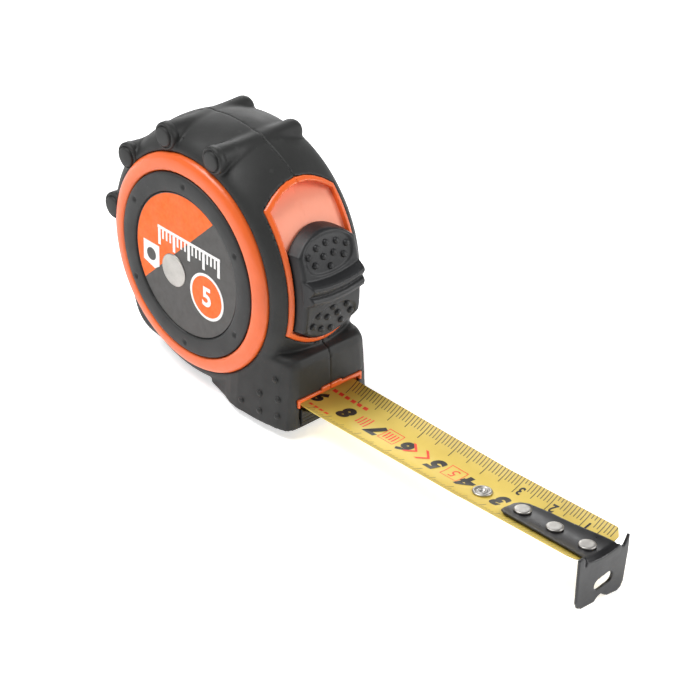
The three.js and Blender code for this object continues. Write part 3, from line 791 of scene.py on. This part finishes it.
def pad_outline(y, arc, middle, half):
    """Roughly the distance to an oval that the studs stand in."""
    reach = ((np.abs(y) / PAD_HALF) ** 2.6 + (np.abs(arc - middle) / half) ** 2.6) ** (1 / 2.6)
    return (reach - 1) * half


def slider_field(x, y, z):
    radius = np.hypot(x, z - AXIS_Z)
    along, across = seen_from(x, z, SLIDER_MIDDLE)
    taper = np.interp(across, (-12, -4), (0.08, 0.17)) * np.clip(radius - 32.3, 0, 4)
    wall = outline_distance(y, across, arched(*SLIDER_OUTLINE, 20)) + taper
    body = round_max(wall, radius - SLIDER_TOP, 0.85)
    arc = np.arctan2(z - AXIS_Z, x) * SLIDER_TOP
    for middle, half in PADS:
        pad = pad_outline(y, arc, middle, half)
        body = smooth_max(body, -smooth_max(pad, SLIDER_TOP - PAD_DEPTH - radius, 0.5), 0.5)
    bow = 1.1 * (1 - np.clip(y / 8.8, -1, 1) ** 2)
    ridge = outline_distance(radius, arc + bow, RIDGE)
    ridge = round_max(ridge, np.abs(y) - RIDGE_HALF + 0.2 * np.clip(radius - 35, 0, 4), 0.5)
    body = smooth_min(body, ridge, 0.4)
    return smooth_max(np.maximum(body, 20 - x), SLIDER_BASE - radius, 0.3)


def build_lock():
    fitted(moulded("thumb_lock_pad", slider_field, (25, -10, 16), (39, 10, 54), 0.2, "lock"),
           "thumb_lock", "lock", "thumb_lock_slider")
    places = []
    for y, degrees in STUDS:
        spot_x, spot_z = polar(SLIDER_TOP - STUD_SINK, degrees)
        angle = math.radians(degrees)
        places.append(((spot_x, y, spot_z), (math.cos(angle), 0, math.sin(angle))))
    fitted(studded("thumb_lock_studs", BUMP, places, "lock"), "thumb_lock", "lock")


MOUTH_PAD_FRONT = 35.3
MOUTH_PAD_DROP = 1.05  # its top below the blade's middle surface


def pad_field(x, y, z):
    """Ribbed lower jaw of the mouth, dished to follow the blade."""
    top = trough(y) - MOUTH_PAD_DROP
    body = np.maximum(block(x, y, z, (32.9, -9.3, 1.0), (MOUTH_PAD_FRONT, 9.3, 9)), z - top)
    ridges = 0.42 * np.abs(np.sin(z * math.pi)) - 0.2
    return smooth_max(body, x - MOUTH_PAD_FRONT - ridges, 0.1)


def build_pad():
    fitted(moulded("mouth_pad_lip", pad_field, (32, -10, 0.4), (36.2, 10, 7), 0.16, "rubber"),
           "case", "rubber", "mouth_pad")


# ---- blade
TROUGH_RADIUS = (BLADE_HALF ** 2 + BLADE_SAG ** 2) / (2 * BLADE_SAG)
TIP_CLIP = 1.6  # clipped corners of the tip
TICK_WIDTH = 0.24


def trough(y):
    """Height of the straight blade's middle surface."""
    rise = TROUGH_RADIUS - np.sqrt(TROUGH_RADIUS ** 2 - np.minimum(y ** 2, 100))
    return BLADE_EDGE_Z - BLADE_SAG + rise


def sprung(points):
    """Points of the straight blade moved into its slightly twisted, rising shape."""
    x, y, z = np.array(points, float).T
    share = np.clip((x - TWIST_START) / (TWIST_END - TWIST_START), 0, 1)
    rise = np.maximum(0, x - BEND_X) * math.tan(math.radians(TIP_SLOPE))
    return np.stack([x, y + DRIFT * share, z + rise - y * np.tan(np.radians(TWIST * share))], axis=1)


def on_blade(x, y, lift):
    """Places on the blade's top face, lift above it."""
    x, y = np.broadcast_arrays(np.array(x, float), np.array(y, float))
    return sprung(np.stack([x, y, trough(y) + BLADE_TOP + lift], axis=-1).reshape(-1, 3))


def tip_half(x):
    """Half width of the blade, with clipped corners at its tip."""
    return min(BLADE_HALF, BLADE_HALF - TIP_CLIP + (BLADE_FRONT - x))


def build_blade():
    xs = [BLADE_REAR + i for i in range(94)] + [118.6, 119.0, 119.4, BLADE_FRONT]
    columns = 24
    top, bottom = [], []
    for x in xs:
        for j in range(columns + 1):
            y = tip_half(x) * (2 * j / columns - 1)
            top.append((x, y, float(trough(y)) + BLADE_TOP))
            bottom.append((x, y, float(trough(y)) + BLADE_BOTTOM))
    points = sprung(top + bottom)
    count = len(top)
    row = columns + 1
    faces = []
    for i in range(len(xs) - 1):
        for j in range(columns):
            a = i * row + j
            faces.append((a, a + row, a + row + 1, a + 1))
            faces.append((a + count, a + 1 + count, a + row + 1 + count, a + row + count))
        for j in (0, columns):
            a = i * row + j
            faces.append((a, a + count, a + row + count, a + row))
    for i in (0, len(xs) - 1):
        for j in range(columns):
            a = i * row + j
            faces.append((a, a + 1, a + 1 + count, a + count))
    blade = outward(new_object("blade_strip", points, faces, "blade"))
    blade.data.set_sharp_from_angle(angle=math.radians(40))
    fitted(blade, "blade", "blade_enamel", "blade")


def bar_piece(x0, x1, y0, y1, steps=6):
    """Points and faces of one printed bar, cut across so that it follows the blade's curve."""
    points, faces = [], []
    for j in range(steps + 1):
        y = y0 + (y1 - y0) * j / steps
        points += [(x0, y), (x1, y)]
        if j:
            a = 2 * j - 2
            faces.append((a, a + 1, a + 3, a + 2))
    return points, faces


def printed(name, pieces, material, lift=0.02):
    """One mesh of flat print pieces laid on the blade's top face."""
    flat, faces = [], []
    for points, own in pieces:
        faces += [[len(flat) + i for i in face] for face in own]
        flat += [tuple(p) for p in points]
    flat = np.array(flat)
    places = on_blade(flat[:, 0], flat[:, 1], lift)
    thing = new_object(name, places, faces, material, smooth=False)
    if sum(face.normal.z for face in thing.data.polygons) < 0:
        thing.data.flip_normals()
    return fitted(thing, "blade", "blade_enamel")


def tick_lines(side):
    """Millimetre divisions on the far (side 1) or near (side -1) edge."""
    pieces = []
    for t in range(2, 86):
        length = 4.5 if t % 10 == 0 else 3.7 if t % 5 == 0 else 2.6
        if side > 0 and t < 30 and t % 10 in (8, 9):
            length = 1.1
        edge = min(BLADE_HALF, tip_half(ZERO_X - t)) - 0.03
        x = ZERO_X - t
        pieces.append(bar_piece(x - TICK_WIDTH / 2, x + TICK_WIDTH / 2,
                                side * edge, side * (edge - length), 4))
    return pieces


def glyph(text, t, y, height, bold, slant):
    """Digits that read with the hook to the left: their tops point to the near edge."""
    points, faces = lettering(text, height, bold, slant)
    return [(ZERO_X - t - u, y - v) for u, v in points], faces


def frame_lines(t0, t1, y0, y1, width):
    """Four thin lines round a rectangle."""
    x0, x1 = ZERO_X - t1, ZERO_X - t0
    bars = [(x0, x1, y0, y0 + width), (x0, x1, y1 - width, y1),
            (x0, x0 + width, y0, y1), (x1 - width, x1, y0, y1)]
    return [bar_piece(*bar) for bar in bars]


FRAMED = (-1.9, 2.7)  # lower and upper edge of the framed boxes
QUAD = [(0, 1, 2, 3)]
# rows of red bars: count, first place, pitch, width, lower and upper edge, and how much these close in
BAR_ROWS = ((4, 63.2, 0.95, 0.45, -1.0, 1.8, 0, 0), (4, 72.2, 1.0, 0.4, -1.6, 2.4, 0.15, 0.2),
            (6, 76.4, 2.1, 1.4, 3.6, 4.5, 0, 0), (4, 81.2, 1.8, 1.2, -4.9, -4.0, 0, 0))


def red_marks():
    """Plain red marks between the digits: framed boxes of bars, arrows and dashes."""
    pieces = frame_lines(41.8, 46.9, *FRAMED, 0.22) + frame_lines(62.3, 67.3, *FRAMED, 0.22)
    pieces.append(glyph("5", 44.3, 0.4, 2.9, 0.0, 0.15))
    for count, first, pitch, width, low, high, lower, upper in BAR_ROWS:
        for i in range(count):
            x = ZERO_X - (first + pitch * i)
            pieces.append(bar_piece(x - width, x, low + lower * i, high - upper * i))
    for t in (53.2, 57.2):
        tip = ZERO_X - t
        pieces.append(([(tip, 0.6), (tip - 2.2, -1.7), (tip - 1.3, -1.7), (tip + 0.9, 0.6)], QUAD))
        pieces.append(([(tip, 0.6), (tip + 0.9, 0.6), (tip - 1.3, 2.6), (tip - 2.2, 2.6)], QUAD))
    return pieces


def build_print():
    printed("blade_scale_far", tick_lines(1), "ink_brown")
    printed("blade_scale_near", tick_lines(-1), "ink_faint")
    digits = [glyph(str(n), t, -0.2, 5.0, 0.068, 0.22) for n, t in
              ((3, 29.5), (4, 39.9), (5, 49.7), (6, 59.6), (7, 69.4), (8, 79.3), (9, 88.8))]
    printed("blade_digits", digits, "ink_black", 0.03)
    small = [glyph(str(n), 10 * n - 1.6, 5.5, 2.5, 0.03, 0.1) for n in (1, 2, 3)]
    printed("blade_small_digits", small, "ink_black", 0.03)
    printed("blade_red_marks", red_marks(), "ink_red", 0.025)


# ---- hook, rivets, eyelet
PLATE_OUTLINE = [(94.3, 0.6), (94.3, -2.6), (94.9, -4.2), (96.4, -5.1), (114, -5.3), (126, -5.9),
                 (126, 5.2), (117, 4.7), (109, 3.9), (102, 3.5), (97, 2.9), (95.2, 2.0)]  # in (x, y)
FACE_OUTLINE = [(-7.4, 8.6), (-7.25, -3), (-6.7, -4.5), (-5.3, -5.3), (-1.0, -5.6), (-0.1, -4.7),
                (1.1, -4.3), (2.1, -5.1), (3.4, -5.9), (6.9, -6.4), (8.0, -5.8), (8.7, -4.4), (9.4, 3.5),
                (9.4, 8.0), (9.0, 8.2), (8.5, 7.0), (7.8, 5.8), (7.2, 5.6), (6.9, 6.0), (6.4, 6.6),
                (4, 6.2), (1, 6.0), (-2, 6.3), (-4.6, 7.0), (-4.9, 6.2), (-5.2, 6.2), (-5.4, 8.3),
                (-5.8, 8.8), (-7.0, 8.9)]  # in (y, z)
SLOT_Y, SLOT_Z, SLOT_ALONG, SLOT_RISE = 1.5, -0.9, 0.99, 0.139  # nail slot: middle and direction
SLOT_HALF, SLOT_RADIUS = 1.55, 1.45
HOLE_RADIUS, HOLE_PLAY = 1.3, 0.5  # rivet holes, longer along the blade by the play both ways
RIVET_PROFILE = [(0, -1), (1.5, -1), (1.7, -0.6), (1, -0.6)] + [
    (radius, HEAD_LOW + height) for radius, height in
    ((1, 0), (1.9, 0), (2.04, 0.1), (2.06, 0.4), (1.98, 0.52), (1.82, 0.59), (1.4, 0.61), (0.7, 0.58),
     (0, 0.57))]
EYELET_PROFILE = [(0, -0.8), (2.0, -0.8), (2.1, -0.6), (1.5, -0.6), (1.5, 0.35), (2.3, 0.42), (2.42, 0.6),
                  (2.34, 0.8), (2.1, 0.93), (1.8, 0.9), (1.6, 0.72), (1.45, 0.66), (1.3, 0.72),
                  (1.15, 0.84), (0.95, 0.86), (0.78, 0.76), (0.68, 0.55), (0, 0.5)]


def hook_field(x, y, z):
    local_y = y - DRIFT
    rise = np.maximum(0, x - BEND_X) * math.tan(math.radians(TIP_SLOPE))
    local_z = z - rise + local_y * math.tan(math.radians(TWIST))
    middle = trough(local_y) + HOOK_LOW + HOOK_THICKNESS / 2
    steep = np.sqrt(1 + (np.clip(local_y, -9, 9) / TROUGH_RADIUS) ** 2)
    above = (local_z - middle) / steep
    ahead = x - (HOOK_FRONT - 0.55)
    sheet = np.abs(smooth_max(above, ahead, 2.0)) - HOOK_THICKNESS / 2
    plate = smooth_max(sheet, outline_distance(x, local_y, PLATE_OUTLINE), 0.3)
    plate = smooth_max(plate, 4.6 - z, 0.3)
    face = smooth_max(np.abs(ahead - 0.12) - 0.4, outline_distance(y, z, FACE_OUTLINE), 0.3)
    whole = smooth_min(plate, face, 0.35)
    whole = smooth_max(whole, x - HOOK_FRONT + 0.02, 0.2)
    slot_u = (y - SLOT_Y) * SLOT_ALONG + (z - SLOT_Z) * SLOT_RISE
    slot_v = -(y - SLOT_Y) * SLOT_RISE + (z - SLOT_Z) * SLOT_ALONG
    slot = np.hypot(np.maximum(np.abs(slot_u) - SLOT_HALF, 0), slot_v) - SLOT_RADIUS
    whole = smooth_max(whole, -np.maximum(slot, 118 - x), 0.2)
    for rivet_x, rivet_y in RIVETS:
        beside = np.maximum(np.abs(x - rivet_x) - HOLE_PLAY, 0)
        whole = np.maximum(whole, HOLE_RADIUS - np.hypot(beside, local_y - rivet_y))
    return whole


def build_hook():
    fitted(moulded("end_hook_sheet", hook_field, (93, -8.4, -7.4), (123.2, 10.4, 10), 0.25, "hook"),
           "hook", "hook_enamel", "end_hook")


def blade_up(x):
    """Direction straight up from the blade's middle line at x."""
    share = min(max((x - TWIST_START) / (TWIST_END - TWIST_START), 0), 1)
    slope = math.tan(math.radians(TIP_SLOPE)) if x > BEND_X else 0
    return Vector((-slope, math.tan(math.radians(TWIST * share)), 1)).normalized()


def build_rivets():
    spots = [(f"hook_rivet_{i + 1}_pin", f"hook_rivet_{i + 1}", RIVET_PROFILE, *spot)
             for i, spot in enumerate(RIVETS)]
    spots.append(("blade_eyelet_ring", "blade_eyelet", EYELET_PROFILE, *EYELET))
    for name, node, profile, x, y in spots:
        foot = sprung([(x, y, float(trough(y)))])[0]
        rivet = turned(name, profile, foot, blade_up(x), "nickel")
        fitted(rivet, "blade", "nickel", node)


# ---- far side: clip and screws
CLIP_PATH = [(16.95, 40.6), (16.95, 27.9), (17.25, 27), (18.0, 26), (21.0, 23.2), (21.65, 22.2),
             (21.8, 21.4), (21.8, 10.6), (21.6, 9.6), (20.9, 8.4), (20.8, 7.7), (21.0, 7),
             (21.65, 5.75)]  # in (y, z)
CLIP_HALF = 0.4  # half its thickness
CROSS_HALF, CROSS_REACH, CROSS_DEPTH = 0.28, 0.62, 0.8  # recess of a screw; reach as share of the head


def clip_field(x, y, z):
    nearest = np.full(x.shape, 1e9)
    for (y0, z0), (y1, z1) in zip(CLIP_PATH, CLIP_PATH[1:]):
        ey, ez = y1 - y0, z1 - z0
        t = np.clip(((y - y0) * ey + (z - z0) * ez) / (ey * ey + ez * ez), 0, 1)
        nearest = np.minimum(nearest, np.hypot(y - y0 - ey * t, z - z0 - ez * t))
    strip = nearest - CLIP_HALF
    corner = np.hypot(np.maximum(np.abs(x) - 5, 0), np.maximum(np.abs(z - 23.2) - 14.8, 0)) - 3
    strip = smooth_max(strip, corner, 0.3)
    return smooth_max(strip, 1.75 - np.hypot(x, z - AXIS_Z), 0.2)


def screw_head(name, x, z, low, top, radius, end, node):
    """Cross-recessed screw along Y."""
    def field(px, py, pz):
        across = np.hypot(px - x, pz - z)
        head = smooth_max(across - radius, np.maximum(low - py, py - top + 0.02 * across ** 2), 0.3)
        shank = np.maximum(across - 0.9, np.maximum(end - py, py - low - 0.2))
        cross = np.minimum(np.maximum(np.abs(px - x) - CROSS_HALF, np.abs(pz - z) - radius * CROSS_REACH),
                           np.maximum(np.abs(pz - z) - CROSS_HALF, np.abs(px - x) - radius * CROSS_REACH))
        cross = np.maximum(cross, top - CROSS_DEPTH - py)
        return smooth_max(np.minimum(head, shank), -cross, 0.1)
    reach = radius + 0.5
    screw = moulded(name, field, (x - reach, end - 0.5, z - reach), (x + reach, top + 0.5, z + reach),
                    0.16, "nickel")
    fitted(screw, "case", "nickel", node)


def build_far_side():
    fitted(moulded("belt_clip_strip", clip_field, (-9, 15.8, 4.2), (9, 23, 42), 0.3, "steel"),
           "case", "steel", "belt_clip")
    screw_head("clip_screw_pin", 0, AXIS_Z, 17.9, 19.0, 3.3, 14, "clip_screw")
    for i, degrees in enumerate((75, 165, 240)):
        x, z = polar(26, degrees)
        screw_head(f"case_screw_{i + 1}_pin", x, z, 13.4, 14.6, 1.95, 9, f"case_screw_{i + 1}")
    screw_head("case_screw_4_pin", *SCREW_BORE, 10.9, 12.1, 1.95, 5, "case_screw_4")


# ---- carried-over parts
def paint_frame():
    """The hidden CAD parts keep their shape and take a material."""
    looks = {"blade_coil": "blade", "reel_drum": "reel", "reel_cover": "reel", "mainspring": "spring",
             "centre_post": "steel", "lock_brake_arm": "lock"}
    for name, key in looks.items():
        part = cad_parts[name]
        part.data.materials.clear()
        part.data.materials.append(MATERIALS[key])


# ---- stage
CAMERA_PLACE = Vector((364.23, -314.53, 301.27))
CAMERA_AZIMUTH, CAMERA_ELEVATION, CAMERA_ROLL = 45.74, 31.82, 1.83
CAMERA_LENS = 115.26
REST_HOOK = (121.8, -6.55)  # the floor passes through the hook's foot and this place under the base
REST_BASE = (-10.5, 0.0)
FLOOR_REACH = 3000
FLOOR_GLOW = 0.6  # the floor glows a little, so that it stays pale
WALL_LIGHT, KEY_LIGHT, FILL_LIGHT, RIM_LIGHT = 0.6, 5.6, 2.6, 1.1


def build_camera():
    a, e, r = (math.radians(v) for v in (CAMERA_AZIMUTH, CAMERA_ELEVATION, CAMERA_ROLL))
    back = Vector((math.sin(a) * math.cos(e), -math.cos(a) * math.cos(e), math.sin(e)))
    level = Vector((math.cos(a), math.sin(a), 0))
    right = level * math.cos(r) + back.cross(level) * math.sin(r)
    up = back.cross(right)
    camera = bpy.data.objects.new("camera", bpy.data.cameras.new("camera"))
    camera.data.lens = CAMERA_LENS
    camera.data.sensor_width = 36
    camera.data.clip_end = 20
    turn = Matrix((right, up, back)).transposed().to_4x4()
    camera.matrix_world = Matrix.Translation(CAMERA_PLACE * MM) @ turn
    bpy.context.collection.objects.link(camera)
    bpy.context.scene.camera = camera


def build_floor():
    (x0, z0), (x1, z1) = REST_BASE, REST_HOOK
    slope = (z1 - z0) / (x1 - x0)
    points = [(x * FLOOR_REACH, y * FLOOR_REACH, z0 + slope * (x * FLOOR_REACH - x0) - 0.05)
              for x, y in ((-1, -1), (1, -1), (1, 1), (-1, 1))]
    material, tree, main = shader("floor_paper", (0.9, 0.9, 0.9), 0.9)
    tone = mottled(tree, 0.01, 3, [(0.3, 0.90), (0.7, 0.93)])
    tree.links.new(tone, main.inputs["Base Color"])
    main.inputs["Specular IOR Level"].default_value = 0.1
    main.inputs["Emission Color"].default_value = (1, 1, 1, 1)
    main.inputs["Emission Strength"].default_value = FLOOR_GLOW
    MATERIALS["floor"] = material
    new_object("floor", points, QUAD, "floor", smooth=False)


def add_light(name, place, target, size, power):
    data = bpy.data.lights.new(name, "AREA")
    data.shape = "SQUARE"
    data.size = size * MM
    data.energy = power
    light = bpy.data.objects.new(name, data)
    light.location = Vector(place) * MM
    aim = (Vector(target) - Vector(place)).to_track_quat("-Z", "Y")
    light.rotation_euler = aim.to_euler()
    bpy.context.collection.objects.link(light)


def build_light():
    world = bpy.data.worlds.new("studio")
    world.use_nodes = True
    tree = world.node_tree
    height = tree.nodes.new("ShaderNodeSeparateXYZ")
    tree.links.new(tree.nodes.new("ShaderNodeTexCoord").outputs["Generated"], height.inputs["Vector"])
    walls = ramp(tree, height.outputs["Z"], [(0.0, 0.75), (0.35, 0.6), (0.8, 0.16)])
    tree.links.new(walls, tree.nodes["Background"].inputs["Color"])
    tree.nodes["Background"].inputs["Strength"].default_value = WALL_LIGHT
    bpy.context.scene.world = world
    add_light("key", (-190, -230, 720), (40, 0, 20), 420, KEY_LIGHT)
    add_light("rim", (-420, 430, 260), (0, 0, 40), 320, RIM_LIGHT)
    add_light("fill", (520, 420, 330), (40, 0, 10), 400, FILL_LIGHT)
    bpy.context.scene.view_settings.view_transform = "Standard"


# ---- assembly
build_camera()
build_light()
build_floor()
paint_frame()
build_case()
build_caps()
build_label_print()
build_lock()
build_pad()
build_blade()
build_print()
build_hook()
build_rivets()
build_far_side()
